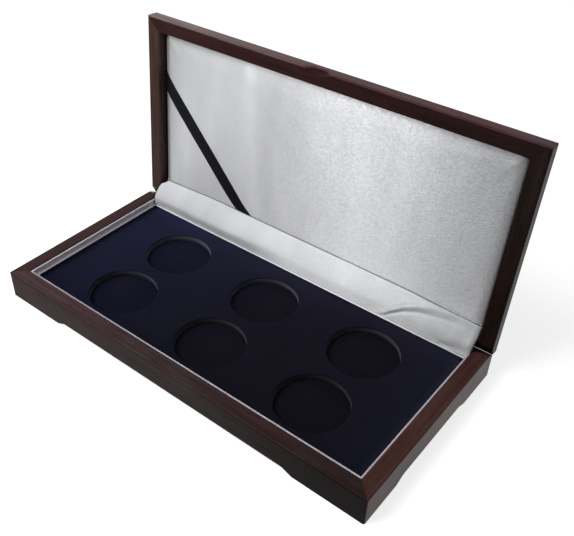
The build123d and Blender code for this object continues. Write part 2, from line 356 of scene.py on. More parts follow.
def lacqueredWood(name, turn, tone=1.0, paintedLight=None, face=None, gloss=wood["gloss"]):
    # streaks, fibres and clouds added by their shares, and darkened by short pores
    # the tone along the case is painted light and shade; face is an axis, two places on it, and the painted
    # light and shade beyond them, on that face
    material, tree = newMaterial(name)
    mixed = weighted(tree, *zip((noise(tree, *each, turn=turn) for each in wood["noises"]), wood["shares"]))
    pores = ramp(tree, noise(tree, *wood["pore"], turn=turn), wood["poreTones"])
    colour = blend(tree, ramp(tree, mixed, wood["colours"]), pores, amount=wood["poreDepth"])
    # tone, where it is not 1, is painted light and shade for one rail: lit and shaded copies of the same wood
    colour = blend(tree, colour, tone)
    if paintedLight is not None:
        colour = toneAndShadeAlong(tree, colour, 0, paintedLight)
    if face is not None:
        *reach, paintedFaceLight = face
        colour = blend(tree, colour, toneAndShadeAlong(tree, colour, 0, paintedFaceLight), "MIX", alongAxis(tree, *reach))
    look = wood | {"roughness": ramp(tree, mixed, wood["roughnessTones"]), "gloss": gloss}
    return dress(material, look, colour, pores, bumpFrom(tree, mixed, *wood["grainRelief"]))


satin = dict(
    colours=((0.32, (0.655, 0.66, 0.68)), (0.66, (0.75, 0.755, 0.77))),
    bands=((1, 0.22, 1), 42),
    crackleSize=3.4,
    crackles=(((1.5, 0.8, 1), 1), ((0.8, 1.5, 1), 1.13)),  # each a stretch and how fine it is
    crackle=(2.5, 0.55, 1.1),
    # the threads are the crushed weave's real creases; their light colour is a painted glint
    thread=((0, 1), (0.075, 0)), threadColour=(0.9, 0.905, 0.91), threadShare=0.3,
    leastCrackle=0.12,
    lumps=((1, 1, 1), 430, 2, 0.6),
    # the lumps are darker where they sink: a mottle of painted shade in the crushed cloth's hollows
    lumpShade=((0.3, 0.86), (0.62, 1)),
    weave=((1, 1, 1), 2600, 1), weaveRelief=(0.2, 0.05),
    relief=(0.3, 0.22),
    roughness=0.42,
    anisotropy=0.88,
    acrossTheCloth=0.25,
    gloss=0.5,
)


def satinCloth(name, crackle, silver, tone=1.0, fadeFrom=None, lengthwise=None, upwards=()):
    # thin threads lie where either of two squeezed noises is near a half: 1 there, falling to 0
    # lengthwise is painted light and shade along the cloth; each of upwards is painted light and shade up it
    # and where that comes in; tone, where given, is painted shade for one piece
    material, tree = newMaterial(name)
    lines = []
    for stretch, fineness in satin["crackles"]:
        scale = 1000 / satin["crackleSize"] * fineness
        crossing = noise(tree, stretch, scale, *satin["crackle"], source="UV")
        lines.append(maths(tree, "ABSOLUTE", maths(tree, "SUBTRACT", crossing, 0.5)))
    thread = ramp(tree, maths(tree, "MINIMUM", *lines), satin["thread"])
    amount = crackle
    if fadeFrom is not None:
        share = alongAxis(tree, 0, *fadeFrom, "UV")
        least = satin["leastCrackle"]
        amount = maths(tree, "ADD", maths(tree, "MULTIPLY", share, (1 - least) * crackle), least * crackle)
    crushed = maths(tree, "MULTIPLY", thread, amount)
    colour = ramp(tree, noise(tree, *satin["bands"], source="UV"), satin["colours"])
    lumps = maths(tree, "SUBTRACT", noise(tree, *satin["lumps"], source="UV"), 0.5)
    grain = maths(tree, "MULTIPLY", lumps, amount)
    # painted shade in the hollows of the lumps
    colour = blend(tree, colour, ramp(tree, maths(tree, "ADD", grain, 0.5), satin["lumpShade"]))
    # the threads painted lighter, as a glint on their ridges
    threads = maths(tree, "MULTIPLY", crushed, satin["threadShare"])
    colour = blend(tree, colour, satin["threadColour"], "MIX", threads)
    # painted light and shade along the cloth and up it
    if lengthwise is not None:
        colour = toneAndShadeAlong(tree, colour, 0, lengthwise, "UV")
    for stops, reach in upwards:
        share = alongAxis(tree, 0, *reach, "UV")
        colour = blend(tree, colour, toneAndShadeAlong(tree, colour, 1, stops, "UV"), "MIX", share)
    weave = bumpFrom(tree, noise(tree, *satin["weave"], source="UV"), *satin["weaveRelief"])
    tangent = addNode(tree, "ShaderNodeTangent", direction_type="UV_MAP", uv_map="cloth").outputs[0]
    # the weave spreads a highlight across the cloth's width, not along it
    more = {
        "Metallic": silver, "Anisotropic": satin["anisotropy"],
        "Anisotropic Rotation": satin["acrossTheCloth"], "Tangent": tangent,
    }
    return dress(material, satin, blend(tree, colour, tone), maths(tree, "ADD", crushed, grain), weave, more)


velvet = dict(
    # the top is lightest and bluest at the left and darkest right of the middle, and lighter towards the
    # back; the floor is darker and less blue towards the right
    top=(
        (-134, (0.0119, 0.0123, 0.0306)), (-108, (0.0113, 0.012, 0.0318)), (-37, (0.009, 0.01, 0.02)),
        (-10, (0.0084, 0.008, 0.0172)), (20, (0.0079, 0.0069, 0.0141)), (50, (0.0069, 0.006, 0.0119)),
        (80, (0.0074, 0.0065, 0.0132)), (110, (0.0084, 0.0075, 0.0155)), (134, (0.0086, 0.0092, 0.018)),
    ),
    floor=((-76, (0.0082, 0.0081, 0.0198)), (3, (0.0068, 0.006, 0.0116)), (81, (0.0059, 0.0052, 0.0092))),
    topBackwards=((-59, 0.86), (-30, 0.88), (-3, 1), (25, 1.15), (42, 1.3), (52, 1.6), (59, 1.9)),
    floorBackwards=((-53, 0.92), (48, 1.08)),
    nap=((1, 1, 1), 22, 3), napTones=((0.3, 0.88), (0.7, 1.12)),
    pile=((1, 1, 1), 2400, 2, 0.7), pileTones=((0.25, 0.6), (0.75, 1.15)),
    relief=(0.5, 0.12),
    roughness=0.95,
    gloss=0.06,
    sheen=0.06, sheenRoughness=0.42, sheenTint=(0.3, 0.34, 0.62),
)


def velvetPile(name, across, backwards):
    # soft patches of leaning nap, times tones along the case and back, times a fine pile
    material, tree = newMaterial(name)
    colour = ramp(tree, noise(tree, *velvet["nap"]), velvet["napTones"])
    colour = toneAndShadeAlong(tree, toneAndShadeAlong(tree, colour, 0, across), 1, backwards)
    pile = noise(tree, *velvet["pile"])
    colour = blend(tree, colour, ramp(tree, pile, velvet["pileTones"]))
    return dress(material, velvet, colour, pile, more={
        "Sheen Weight": velvet["sheen"], "Sheen Roughness": velvet["sheenRoughness"],
        "Sheen Tint": velvet["sheenTint"],
    })


insert = dict(
    recessRadius=23, firstRecess=(-75.9, -29.6), recessPitch=(78.6, 54.3), columns=3, rows=2,
    rimRound=0.8,
    edgeRound=0.8, edgeStep=3.4,
    roundSteps=6,
    flatShares=(0.12, 0.3, 0.55, 0.8, 1),
)

foam = dict(
    # all of these tones are painted light and shade: around, lighter on the right of each recess wall where
    # light falls, is by the share of a recess's pitch that lies to the left; the others, by millimetres, are
    # darker towards the right and the front and lighter at the foot of the walls
    around=(
        (0.207, 0.5), (0.26, 0.52), (0.312, 0.48), (0.376, 0.51), (0.449, 0.56), (0.526, 0.7), (0.6, 0.8),
        (0.668, 0.88), (0.73, 1.05),
    ),
    across=((-99, 1.35), (-53, 1.2), (3, 0.95), (60, 0.66), (104, 0.55)),
    backwards=((-53, 0.75), (-7, 0.8), (2, 1.2), (48, 1.3)),
    upwards=((8.8, 1.9), (10.6, 1.5), (12.6, 1), (13.6, 0.9)),
    cellScale=2600,
    colours=((0, (0.046, 0.046, 0.056)), (0.7, (0.088, 0.088, 0.105))),
    relief=(0.5, 0.15),
    roughness=0.9,
    gloss=0.08,
)


def cutFoam(name):
    # open cells: the distance to the nearest of many scattered points
    # the same painted light goes round every recess, lighter on its right: places along a row, in pitches,
    # less their whole part
    material, tree = newMaterial(name)
    cells = addNode(tree, "ShaderNodeTexVoronoi", {"Vector": placeOn(tree), "Scale": foam["cellScale"]})
    distance = cells.outputs["Distance"]
    colour = ramp(tree, distance, foam["colours"])
    # painted light and shade along the case, towards the back and up the walls
    for axis, direction in enumerate(("across", "backwards", "upwards")):
        colour = toneAndShadeAlong(tree, colour, axis, foam[direction])
    pitch = insert["recessPitch"][0]
    start = insert["firstRecess"][0] - 0.5 * pitch
    share = maths(tree, "FRACT", alongAxis(tree, 0, start, start + pitch, held=False))
    # painted light round each recess wall
    colour = blend(tree, colour, ramp(tree, share, foam["around"]))
    return dress(material, foam, colour, distance)


steel = dict(
    scratches=((0.06, 1, 1), 3000, 3, 0.6),
    colours=((0.3, (0.55, 0.52, 0.46)), (0.7, (0.68, 0.66, 0.6))),
    roughnessTones=((0.3, 0.38), (0.7, 0.26)),
    relief=(0.2, 0.03),
    gloss=0.5,
)


def brushedSteel(name):
    # faint scratches along X over a plated surface: noise squeezed along it
    material, tree = newMaterial(name)
    scratches = noise(tree, *steel["scratches"])
    look = steel | {"roughness": ramp(tree, scratches, steel["roughnessTones"])}
    return dress(material, look, ramp(tree, scratches, steel["colours"]), scratches, more={"Metallic": 1.0})


board = dict(
    flecks=(4, 0.7, 0.6),
    fleckStretch=(0.5, 1, 1),
    speckFineness=4,
    shares=(0.7, 0.3),
    range=(0.36, 0.64),
    relief=(0.35, 0.2),
    roughness=0.85,
    gloss=0.2,
)


def pressedBoard(name, dark, light, scale):
    # flecks squeezed along X and finer specks, added by their shares, from dark to light
    material, tree = newMaterial(name)
    flecks = noise(tree, board["fleckStretch"], scale, *board["flecks"])
    specks = noise(tree, (1, 1, 1), scale * board["speckFineness"])
    both = weighted(tree, *zip((flecks, specks), board["shares"]))
    return dress(material, board, ramp(tree, both, list(zip(board["range"], (dark, light)))), both)


# the parts that keep their CAD meshes

acrossTurn = (0, 0, 0)
backTurn = (0, 0, quarterTurn)
upTurn = (0, quarterTurn, 0)
frontFace = nodeBox("base_front_rail")[0][1]
railInner = nodeBox("left_satin_liner")[0][0]
lidEdge = nodeBox("lid_top_panel")[1][2]
frontReach = (1, frontFace + 0.4, frontFace + 0.1)
lidReach = (2, lidEdge - 0.55, lidEdge - 0.35)
insideReach = (0, railInner - 0.5, railInner - 0.1)
# these carry painted light and shade: the wood's tones along the case, and on one face of the lid and of the
# front rail
grainAcross = lacqueredWood("mahogany grain across", acrossTurn, 1, wood["across"])
grainLid = lacqueredWood(
    "mahogany grain across, lid", acrossTurn, 1, wood["lid"], (*lidReach, wood["lidFront"]), wood["midGloss"]
)
finishes = {
    "base_front_rail": lacqueredWood(
        "mahogany grain across, front", acrossTurn, 1, wood["frontTop"], (*frontReach, wood["front"]),
        wood["lowGloss"],
    ),
    "base_rear_rail": grainAcross,
    # each side rail's tone is painted light and shade, making lit and shaded copies of one wood: the right
    # base rail painted lighter as a reflection, the right lid rail painted darker
    "base_left_rail": lacqueredWood("mahogany grain front to back", backTurn, (1.15, 1.6, 1.6)),
    "base_right_rail": lacqueredWood(
        "mahogany grain front to back, painted lighter", backTurn, (1.75, 2.4, 2.2), gloss=wood["midGloss"]
    ),
    "lid_front_rail": grainLid,
    "lid_rear_rail": grainAcross,
    "lid_left_rail": lacqueredWood(
        "mahogany grain up the open lid", upTurn, (1.45, 2.3, 1.85), face=(*insideReach, wood["lidInside"])
    ),
    "lid_right_rail": lacqueredWood(
        "mahogany grain up the open lid, painted darker", upTurn, (0.46, 0.82, 0.8), gloss=wood["lowGloss"]
    ),
    "lid_top_panel": grainLid,
    "base_floor_panel": pressedBoard("stained fibreboard", (0.05, 0.03, 0.022), (0.105, 0.064, 0.046), 330),
    "pocket_floor_board": velvetPile("navy velvet, recess floor", velvet["floor"], velvet["floorBackwards"]),
    "lid_pad_board": pressedBoard("dark board", (0.022, 0.02, 0.02), (0.045, 0.042, 0.04), 420),
}
steelNodes = ["base_hinge_screws", "lid_hinge_screws"]
for side in ("left", "right"):
    steelNodes += [f"{side}_hinge_{part}" for part in ("base_leaf", "lid_leaf", "pin")]
finishes |= dict.fromkeys(steelNodes, brushedSteel("plated steel"))
for nodeName, finish in finishes.items():
    for materialSlot in frame["nodes"][nodeName].material_slots:
        materialSlot.material = finish
print("finishes put on", len(finishes), "nodes")

# velvet insert

insertLow, insertHigh = nodeBox("velvet_insert")
insertInnerLow = insertLow[:2] + insert["edgeRound"]
insertInnerHigh = insertHigh[:2] - insert["edgeRound"]


def sideSteps(start, end):
    # even places from start to end, about one step apart
    return np.linspace(start, end, max(2, round((end - start) / insert["edgeStep"]) + 1))


def closedOutline(xs, ys):
    # once round a rectangle: the south, east, north and west sides, and the first point again
    across, along = np.ones(len(xs) - 1), np.ones(len(ys) - 1)
    south = np.column_stack([xs[:-1], ys[0] * across])
    east = np.column_stack([xs[-1] * along, ys[:-1]])
    north = np.column_stack([xs[:0:-1], ys[-1] * across])
    west = np.column_stack([xs[0] * along, ys[:0:-1]])
    return np.concatenate([south, east, north, west, south[:1]])


def atHeight(places, height):
    # flat places lifted to one height
    return np.column_stack([places, np.full(len(places), height)])


def quarterRound():
    # the sine and cosine of even turns from 0 to a right angle
    return [(math.sin(turn), math.cos(turn)) for turn in np.linspace(0, quarterTurn, insert["roundSteps"])]


def recessCell(centre, westEast, southNorth):
    # rings from the bottom outline in to the hole, up its wall, round its rim and out to the top outline
    outline = closedOutline(sideSteps(*westEast), sideSteps(*southNorth))
    topOutline = np.clip(outline, insertInnerLow, insertInnerHigh)
    away = outline - centre
    way = away / np.linalg.norm(away, axis=1, keepdims=True)
    radius, rim = insert["recessRadius"], insert["rimRound"]
    low, high = insertLow[2], insertHigh[2]
    wall = centre + way * radius
    rings = [atHeight(outline, low), atHeight(wall, low), atHeight(wall, (low + high) / 2)]
    for sine, cosine in quarterRound():
        rings.append(atHeight(centre + way * (radius + rim * (1 - cosine)), high - rim + rim * sine))
    rimRing = centre + way * (radius + rim)
    for share in insert["flatShares"]:
        rings.append(atHeight(rimRing + (topOutline - rimRing) * share, high))
    return np.stack(rings)


def cellLines(axis, count):
    # the cells' outer and shared lines along one axis: the shared ones lie midway between recesses
    first, pitch = insert["firstRecess"][axis], insert["recessPitch"][axis]
    return [insertLow[axis]] + [first + pitch * (k + 0.5) for k in range(count - 1)] + [insertHigh[axis]]


def allSteps(lines):
    # every cell's places along one axis, each once
    places = np.concatenate([sideSteps(start, end) for start, end in zip(lines, lines[1:])])
    return np.unique(np.round(places, 6))


def outerSkirt(xs, ys):
    # rings from the flat top round the outer edge, a quarter round, and down to the bottom outline
    outline = closedOutline(xs, ys)
    inner = np.clip(outline, insertInnerLow, insertInnerHigh)
    edge, high = insert["edgeRound"], insertHigh[2]
    rings = [
        atHeight(inner + (outline - inner) * sine, high - edge + edge * cosine)
        for sine, cosine in quarterRound()
    ]
    return np.stack(rings + [atHeight(outline, insertLow[2])])


def velvetTrayMesh():
    # a cell round each recess and a skirt, welded where they meet; the recess walls' faces are marked
    linesX, linesY = cellLines(0, insert["columns"]), cellLines(1, insert["rows"])
    points, faces, marks, count = [], [], [], 0
    for column in range(insert["columns"]):
        for row in range(insert["rows"]):
            centre = np.array(insert["firstRecess"]) + np.array(insert["recessPitch"]) * (column, row)
            rings = recessCell(centre, linesX[column:column + 2], linesY[row:row + 2])
            cellFaces = gridFaces(*rings.shape[:2])
            ringOfFace = np.arange(len(cellFaces)) // (rings.shape[1] - 1)
            points.append(rings.reshape(-1, 3))
            faces.append(cellFaces + count)
            marks.append((ringOfFace == 1) | (ringOfFace == 2))
            count += len(points[-1])
    skirt = outerSkirt(allSteps(linesX), allSteps(linesY))
    points.append(skirt.reshape(-1, 3))
    faces.append(gridFaces(*skirt.shape[:2])[:, ::-1] + count)
    marks.append(np.zeros(len(faces[-1]), bool))
    points, faces, marks = (np.concatenate(parts) for parts in (points, faces, marks))
    firstOf, sameAs = np.unique(np.round(points, 4), axis=0, return_index=True, return_inverse=True)[1:]
    return points[firstOf], sameAs.reshape(-1)[faces], marks


trayPoints, trayFaces, onWall = velvetTrayMesh()
velvetBlue = velvetPile("navy velvet", velvet["top"], velvet["topBackwards"])
velvetTray = makePiece(
    "velvet_tray", trayPoints, facingOut(trayPoints, trayFaces), [velvetBlue, cutFoam("black foam, cut")],
    "base", "velvet_insert", faceMaterial=onWall,
)
print("velvet tray:", len(trayPoints), "points")

# satin liners round the tray

liner = dict(
    clothThickness=0.28,
    alongStep=0.7,
    rows=54,
    # each profile row is a distance from the wood and a height; the fold's heights count from the top
    back=((0.15, 11), (0.13, 15)),
    fold=((0.12, -0.7), (0.26, -0.16), (0.62, 0), (1.05, -0.14), (1.26, -0.6), (1.1, -1.2), (0.88, -2.1)),
    face=(
        (0.86, 16.4), (0.92, 15.45), (1.2, 15), (1.7, 14.8), (2.05, 14.52), (1.95, 14.22), (1.5, 14.08),
        (1.15, 13.7), (1, 12.8), (0.98, 10.6), (0.98, 8.2),
    ),
    puckerDepth=0.2, puckerMean=0.35,
    puckers=((0.45, 5, 0.65), (1.3, 2.2, 0.35)),  # each a stretch up the wall, a pitch and a share
    puckerAway=(0.6, 0.95), puckerFoot=(14.9, 15.8), puckerTop=(-0.9, -0.1),
    topWave=0.07, topWavePitch=14, topWaveFrom=(-1, -0.2),
)


def linerSheet(node, start, end, wallAt, inward, seed, looseness, alongX):
    # satin folded over a card: up its back, over the top and down its face, puckered lengthwise
    top = nodeBox(node)[1][2]
    length = abs(end - start)
    fold = tuple((away, top + below) for away, below in liner["fold"])
    curve = smoothCurve(np.array(liner["back"] + fold + liner["face"]), liner["rows"])
    places = np.linspace(0, length, int(length / liner["alongStep"]) + 1)
    away, lengthwise = np.meshgrid(curve[:, 0], places, indexing="ij")
    height = np.broadcast_to(curve[:, 1:], away.shape)
    puckerTop = [top + below for below in liner["puckerTop"]]
    onFace = smoothStep(away, *liner["puckerAway"]) * window(height, liner["puckerFoot"], puckerTop)
    puckers = sum(
        ripple(lengthwise, height * stretch, seed + k, pitch) * share
        for k, (stretch, pitch, share) in enumerate(liner["puckers"])
    )
    away = away + looseness * liner["puckerDepth"] * (liner["puckerMean"] + puckers) * onFace
    topWave = liner["topWave"] * ripple(lengthwise, 0 * away, seed + 2, liner["topWavePitch"])
    height = height + topWave * smoothStep(height, *(top + below for below in liner["topWaveFrom"]))
    across = wallAt + inward * away
    along = start + np.sign(end - start) * lengthwise
    points = np.stack([along, across, height] if alongX else [across, along, height], -1)
    return points, np.stack([lengthwise, runAlong(curve)[:, None] + 0 * away], -1)


def addLiner(name, node, restsOn, cloth, start, end, wallAt, inward, seed, looseness):
    # one liner, its face turned in to the case, and its flat size: its length and the way round its fold
    alongX = name.endswith("front")
    grid, uv = linerSheet(node, start, end, wallAt, inward, seed, looseness, alongX)
    direction = (0, inward, 0) if alongX else (inward, 0, 0)
    piece = makeSheet(name, grid, uv, direction, liner["clothThickness"], cloth, "base", node)


sideRun = [corner[1] for corner in nodeBox("left_satin_liner")]
# each liner's tone is painted shade, making lit and shaded copies of one satin: the front liner darkest, the
# right one darker than the left
addLiner(
    "satin_liner_front", "front_satin_liner", "base_front_rail",
    satinCloth("satin, front liner", 0.9, 0.3, (0.50, 0.465, 0.49)),
    railInner, -railInner, nodeBox("front_satin_liner")[0][1], 1, seed=11, looseness=0.5,
)
addLiner(
    "satin_liner_left", "left_satin_liner", "base_left_rail",
    satinCloth("satin, left liner", 0.9, 0.3, (1.0, 0.92, 0.97)),
    *sideRun, railInner, 1, seed=23, looseness=1.0,
)
addLiner(
    "satin_liner_right", "right_satin_liner", "base_right_rail",
    satinCloth("satin, right liner", 0.9, 0.3, (0.72, 0.66, 0.69)),
    *sideRun, -railInner, -1, seed=37, looseness=0.6,
)
print("liners made")

# padded satin panel in the lid

pad = dict(
    left=-132.2, right=134.4, front=-60, rear=54.95, base=26,
    cornerRadius=4.6, rearCorner=1.3,
    rearBow=2.1, bowFades=(78, 132), bowReach=16,
    startHeight=2.25, edgeRound=8, rearRound=0.5,
    edgeSteps=(0, 0.12, 0.35, 0.7, 1.2, 1.9, 2.8, 4, 5.5, 7.4),
    gridStep=2.4,
    frames=20,
    most=0.2,  # how far the cloth may swell
    ridgeFrom=(-57.8, -47), ridgeLean=0.092, ridgeHeight=0.19, ridgeFlanks=(6.5, 3),
    furrow=(0.14, 9.5, 5),  # a depth, a distance from the ridge and a width
    swells=((0.16, 5, 90), (0.06, 6, 24)),  # each a height, a seed and a pitch
    reliefFrom=(0.8, 2.2),
    # painted light and shade along the pad: a painted highlight band right of the middle, darker towards both
    # ends, and painted shade at the right edge
    lengthwise=(
        (-134, 0.72), (-112, 0.8), (-85, 0.81), (-60, 0.835), (-32, 0.8), (-12, 0.85), (12, 1.02),
        (35, 1.06), (60, 1.04), (85, 0.82), (107, 0.69), (127, 0.59), (134, 0.3),
    ),
    # painted light and shade up the pad: darker towards the lid's top, lighter towards the hinge, more so
    # towards the right
    upwards=((-60, 0.76), (-50, 0.8), (-20, 0.88), (10, 1), (40, 1.17), (55, 1.36)),
    upwardsFrom=(-80, 105),
)
padLow, padHigh = pad["left"], pad["right"]
padFront, padRear, padBase = pad["front"], pad["rear"], pad["base"]
padMiddle = (padFront + padRear) / 2
clothSettings = {
    "quality": 6, "mass": 0.15, "tension_stiffness": 12, "compression_stiffness": 8,
    "shear_stiffness": 5, "bending_stiffness": 0.4, "use_pressure": True,
    "uniform_pressure_force": 2.2, "vertex_group_mass": "held",
}


def edgeSpacing(low, high):
    # close lines near both edges, even lines between
    *near, last = pad["edgeSteps"]
    count = round((high - low - 2 * last) / pad["gridStep"]) + 1
    inside = np.linspace(low + last, high - last, count)
    return np.concatenate([low + np.array(near), inside, (high - np.array(near))[::-1]])


padXs = edgeSpacing(padLow, padHigh)
padYs = edgeSpacing(padFront, padRear)


def rearBow(x):
    # how far the pad's rear edge draws in: most along its middle, none at its corners
    return pad["rearBow"] * (1 - smoothStep(np.abs(x), *pad["bowFades"]))


def padSurface():
    # a rounded rectangle: the square corners are bent to quarter discs, and the edge rises as a quarter round
    x, y = np.meshgrid(padXs, padYs, indexing="ij")
    radius = np.where(y > padMiddle, pad["rearCorner"], pad["cornerRadius"])
    nearX = np.minimum(x - padLow, padHigh - x)
    nearY = np.minimum(y - padFront, padRear - y)
    p = np.clip(radius - nearX, 0, radius)
    q = np.clip(radius - nearY, 0, radius)
    bentP = p * np.sqrt(1 - q**2 / (2 * radius**2))
    bentQ = q * np.sqrt(1 - p**2 / (2 * radius**2))
    x = x + np.sign(x) * (bentP - p)
    y = y + np.sign(y - padMiddle) * (bentQ - q)
    # the rear edge is tight, the other three are soft
    roundX = pad["edgeRound"]
    roundY = np.where(y > padMiddle, pad["rearRound"], roundX)
    shareY = q**2 / np.maximum(p**2 + q**2, 1e-9)
    cornerRound = roundX * (1 - shareY) + roundY * shareY
    edge = np.where(
        (p > 0) & (q > 0), (radius - np.hypot(bentP, bentQ)) / cornerRound,
        np.minimum(nearX / roundX, nearY / roundY),
    )
    short = 1 - np.clip(edge, 0, 1)
    height = pad["startHeight"] * np.sqrt(np.clip(1 - short**2, 0, 1))
    nearRear = np.clip((y - padRear) / pad["bowReach"] + 1, 0, 1)
    return x, y - rearBow(x) * nearRear, height


def padMesh():
    # a front sheet and a flat back, where the back's outline points are the front's own
    # it also gives each front point's number, and the numbers of the outline and of the back
    x, y, height = padSurface()
    front = np.stack([x, y, padBase - height], -1).reshape(-1, 3)
    back = np.stack([x, y, np.full_like(x, padBase)], -1).reshape(-1, 3)
    onOutline = np.ones(x.shape, bool)
    onOutline[1:-1, 1:-1] = False
    outline = np.flatnonzero(onOutline)
    same = np.arange(2 * x.size)
    same[outline + x.size] = outline
    used, compact = np.unique(same, return_inverse=True)
    compact = compact.reshape(-1)
    points = np.concatenate([front, back])[used]
    faces = gridFaces(*x.shape)
    faces = compact[np.concatenate([faces, faces[:, ::-1] + x.size])]
    held = np.concatenate([compact[outline], np.arange(x.size, len(points))])
    return points, facingOut(swingOpen(points), faces), compact[:x.size].reshape(x.shape), np.unique(held)


def plump(points, faces, held):
    # cloth under gentle pressure from inside: the held points stay, and each move is capped
    mesh = bpy.data.meshes.new("plump")
    mesh.from_pydata((points * millimetre).tolist(), [], faces.tolist())
    cloth = linkObject("plump", mesh)
    cloth.vertex_groups.new(name="held").add(held.tolist(), 1.0, "REPLACE")
    solver = cloth.modifiers.new("cloth", "CLOTH")
    for key, value in clothSettings.items():
        setattr(solver.settings, key, value)
    solver.settings.effector_weights.gravity = 0
    solver.collision_settings.use_collision = False
    solver.collision_settings.use_self_collision = False
    for step in range(1, pad["frames"] + 1):
        bpy.context.scene.frame_set(step)
    shape = cloth.evaluated_get(bpy.context.evaluated_depsgraph_get()).to_mesh()
    moved = np.zeros(len(shape.vertices) * 3)
    shape.vertices.foreach_get("co", moved)
    bpy.data.objects.remove(cloth)
    bpy.context.scene.frame_set(1)
    shift = moved.reshape(-1, 3) / millimetre - points
    length = np.linalg.norm(shift, axis=1, keepdims=True)
    return points + shift * np.minimum(1, pad["most"] / np.maximum(length, 1e-9))


def padRelief(x, y, height):
    # a soft ridge down the cloth with a furrow beside it, and broad swells; all of it fades at the edges
    startX, startY = pad["ridgeFrom"]
    fromRidge = x - startX - pad["ridgeLean"] * (y - startY)
    before, beyond = pad["ridgeFlanks"]
    depth, *furrowPlace = pad["furrow"]
    ridge = pad["ridgeHeight"] * bump(fromRidge, 0, np.where(fromRidge > 0, beyond, before))
    swells = sum(size * ripple(x, y, seed, pitch) for size, seed, pitch in pad["swells"])
    return (ridge - depth * bump(fromRidge, *furrowPlace) + swells) * smoothStep(height, *pad["reliefFrom"])


padPoints, padFaces, padFrontIds, padHeld = padMesh()
padPoints = plump(padPoints, padFaces, padHeld)
padRise = padBase - padPoints[:, 2]
lowest, highest = (round(float(rise), 2) for rise in (padRise.min(), padRise.max()))
print("pad plumped:", lowest, "to", highest, "mm over its board")
padPoints[:, 2] -= np.where(padRise > 0.05, padRelief(padPoints[:, 0], padPoints[:, 1], padRise), 0)
padHeights = (padBase - padPoints[:, 2])[padFrontIds]
# the crushed satin carries the pad's painted light and shade along it and up it
satinCrushed = satinCloth(
    "satin, crushed", 1.0, 0.5, fadeFrom=(-80, 20), lengthwise=pad["lengthwise"],
    upwards=((pad["upwards"], pad["upwardsFrom"]),),
)
padPiece = makePiece(
    "satin_pad", swingOpen(padPoints), padFaces, [satinCrushed], "lid", "lid_satin_pad",
    uv=padPoints[:, :2],
)
smoother = padPiece.modifiers.new("smooth", "SUBSURF")
smoother.levels = smoother.render_levels = 1


def cellOf(lines, places):
    # the grid cell that each place lies in, and how far across the cell it is, from 0 to 1
    cell = np.clip(np.searchsorted(lines, places) - 1, 0, len(lines) - 2)
    return cell, np.clip((places - lines[cell]) / (lines[cell + 1] - lines[cell]), 0, 1)


def heightOnPad(x, y):
    # the pad's height: a weighted mean of four grid points, once the drawn-in rear is let out again
    reach = pad["bowReach"]
    inRear = np.clip(y - (padRear - reach), 0, None)
    y = y - inRear + inRear * reach / (reach - rearBow(x))
    i, a = cellOf(padXs, x)
    j, b = cellOf(padYs, y)
    return (
        padHeights[i, j] * (1 - a) * (1 - b)
        + padHeights[i + 1, j] * a * (1 - b)
        + padHeights[i, j + 1] * (1 - a) * b
        + padHeights[i + 1, j + 1] * a * b
    )


# corner ribbon

ribbon = dict(
    width=10,
    thickness=0.3,
    grid=(260, 17),
    sideAt=(-133, -27),
    rearAt=(-53.5, 55),
    lift=0.18,
    leastHeight=0.15,
    wrap=2.4,
    overrun=1.9,  # how many wraps the band runs on past the pad's edges
    besideLeft=0.12, besideRear=0.1,
    crown=0.1,
    bend=(12, 1.8),
    ribPitch=0.45,
    selvedge=((0.4, 0), (0.45, 1)), selvedgeColour=(0.0075, 0.0078, 0.015), selvedgeRelief=1.5,
    mottle=((1, 1, 1), 90, 3),
    colours=((0.3, (0.0034, 0.004, 0.006)), (0.7, (0.0056, 0.006, 0.0115))),
    lengthwise=((0, 0.5), (18, 0.6), (45, 0.9), (90, 1)),
    relief=(0.4, 0.05),
    roughness=0.55,
    gloss=0.07,
)


def ribbonWeave(name):
    # fine ribs across the band, from a sine of the cloth's own length, and two tight selvedges
    material, tree = newMaterial(name)
    parts = addNode(tree, "ShaderNodeSeparateXYZ", {"Vector": placeOn(tree, source="UV")})
    turns = maths(tree, "MULTIPLY", parts.outputs[0], 2 * math.pi / (ribbon["ribPitch"] * millimetre))
    share = maths(tree, "DIVIDE", maths(tree, "ABSOLUTE", parts.outputs[1]), ribbon["width"] * millimetre)
    selvedge = ramp(tree, share, ribbon["selvedge"])
    colour = ramp(tree, noise(tree, *ribbon["mottle"]), ribbon["colours"])
    colour = blend(tree, colour, ribbon["selvedgeColour"], "MIX", selvedge)
    height = weighted(tree, (maths(tree, "SINE", turns), 1.0), (selvedge, ribbon["selvedgeRelief"]))
    return dress(material, ribbon, toneAndShadeAlong(tree, colour, 0, ribbon["lengthwise"], "UV"), height)


